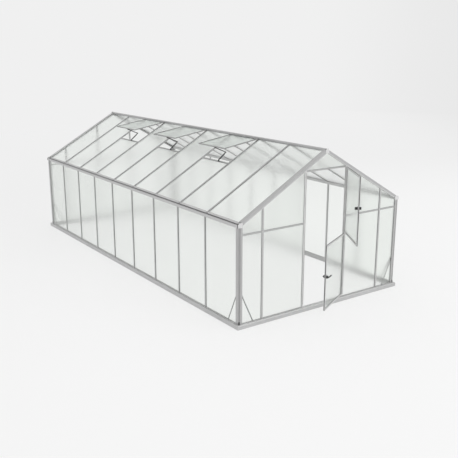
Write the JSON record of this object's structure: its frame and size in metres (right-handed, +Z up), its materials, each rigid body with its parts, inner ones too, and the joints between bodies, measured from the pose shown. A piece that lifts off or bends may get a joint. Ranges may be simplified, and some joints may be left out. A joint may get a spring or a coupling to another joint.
{
  "type": "greenhouse",
  "caption": "Walk-in greenhouse with an aluminium frame and frosted polycarbonate sheets, a pitched roof with hinged vents and a door split into two leaves.",
  "frame": {"origin": "underside of the front base rail, below the middle of the front gable's outer face", "axes": "+X across the front gable to the right as seen from the door side, +Y along the ridge to the rear, +Z up"},
  "size_m": [3.114, 7.5172, 2.3373],
  "materials": {
    "frame_aluminium": "mill finish, matt",
    "base_aluminium": "mill finish, matt",
    "polycarbonate": "frosted twin-wall sheet",
    "cap_plastic": "moulded, satin",
    "handle_plastic": "moulded, satin",
    "opener_steel": "black paint, satin"
  },
  "bodies": {
    "house": {"base_rail_front": "base_aluminium", "base_rail_rear": "base_aluminium", "base_rail_left": "base_aluminium", "base_rail_right": "base_aluminium", "sill_profiles": "base_aluminium", "corner_post_front_left": "frame_aluminium", "corner_post_front_right": "frame_aluminium", "corner_post_rear_left": "frame_aluminium", "corner_post_rear_right": "frame_aluminium", "wall_studs_left": "frame_aluminium", "wall_studs_right": "frame_aluminium", "wall_sheets_left": "polycarbonate", "wall_sheets_right": "polycarbonate", "eave_gutter_left": "frame_aluminium", "eave_gutter_right": "frame_aluminium", "ridge_beam": "frame_aluminium", "end_caps": "cap_plastic", "rafters_left": "frame_aluminium", "rafters_right": "frame_aluminium", "roof_sheets_left": "polycarbonate", "roof_sheets_right": "polycarbonate", "gable_rafters_front": "frame_aluminium", "gable_rafters_rear": "frame_aluminium", "gable_studs_front": "frame_aluminium", "gable_studs_rear": "frame_aluminium", "gable_rails_front": "frame_aluminium", "gable_rails_rear": "frame_aluminium", "gable_sheets_front": "polycarbonate", "gable_sheets_rear": "polycarbonate", "door_jambs": "frame_aluminium", "door_header": "frame_aluminium", "hinge_post": "frame_aluminium", "corner_braces": "base_aluminium", "vent_sill_bars": "frame_aluminium", "vent_frames": "frame_aluminium", "vent_sheets": "polycarbonate", "vent_openers": "opener_steel"},
    "lower_leaf": {"lower_leaf_frame": "frame_aluminium", "lower_leaf_sheet": "polycarbonate", "lower_leaf_roses": "handle_plastic"},
    "upper_leaf": {"upper_leaf_frame": "frame_aluminium", "upper_leaf_sheet": "polycarbonate", "upper_leaf_roses": "handle_plastic"},
    "lower_handle": {"lower_leaf_handle": "handle_plastic"},
    "upper_handle": {"upper_leaf_handle": "handle_plastic"}
  },
  "joints": [
    {"name": "lower_leaf_swing", "type": "hinge", "parent": "house", "child": "lower_leaf", "pos_m": [0.384, -0.0262, 0.584], "axis": [0, 0, 1], "range_deg": [-26.9, 93.1]},
    {"name": "upper_leaf_swing", "type": "hinge", "parent": "house", "child": "upper_leaf", "pos_m": [0.384, -0.0262, 1.56316], "axis": [0, 0, 1], "range_deg": [-58.4, 61.6]},
    {"name": "lower_handle_turn", "type": "hinge", "parent": "lower_leaf", "child": "lower_handle", "pos_m": [-0.26484, -0.34528, 0.599], "axis": [-0.4524, 0.8918, 0], "range_deg": [0, 45], "stiffness_Nm_per_rad": 1, "springref_deg": -20.05},
    {"name": "upper_handle_turn", "type": "hinge", "parent": "upper_leaf", "child": "upper_handle", "pos_m": [-0.00251, -0.63728, 1.60316], "axis": [-0.8517, 0.524, 0], "range_deg": [0, 45], "stiffness_Nm_per_rad": 1, "springref_deg": -20.05}
  ]
}
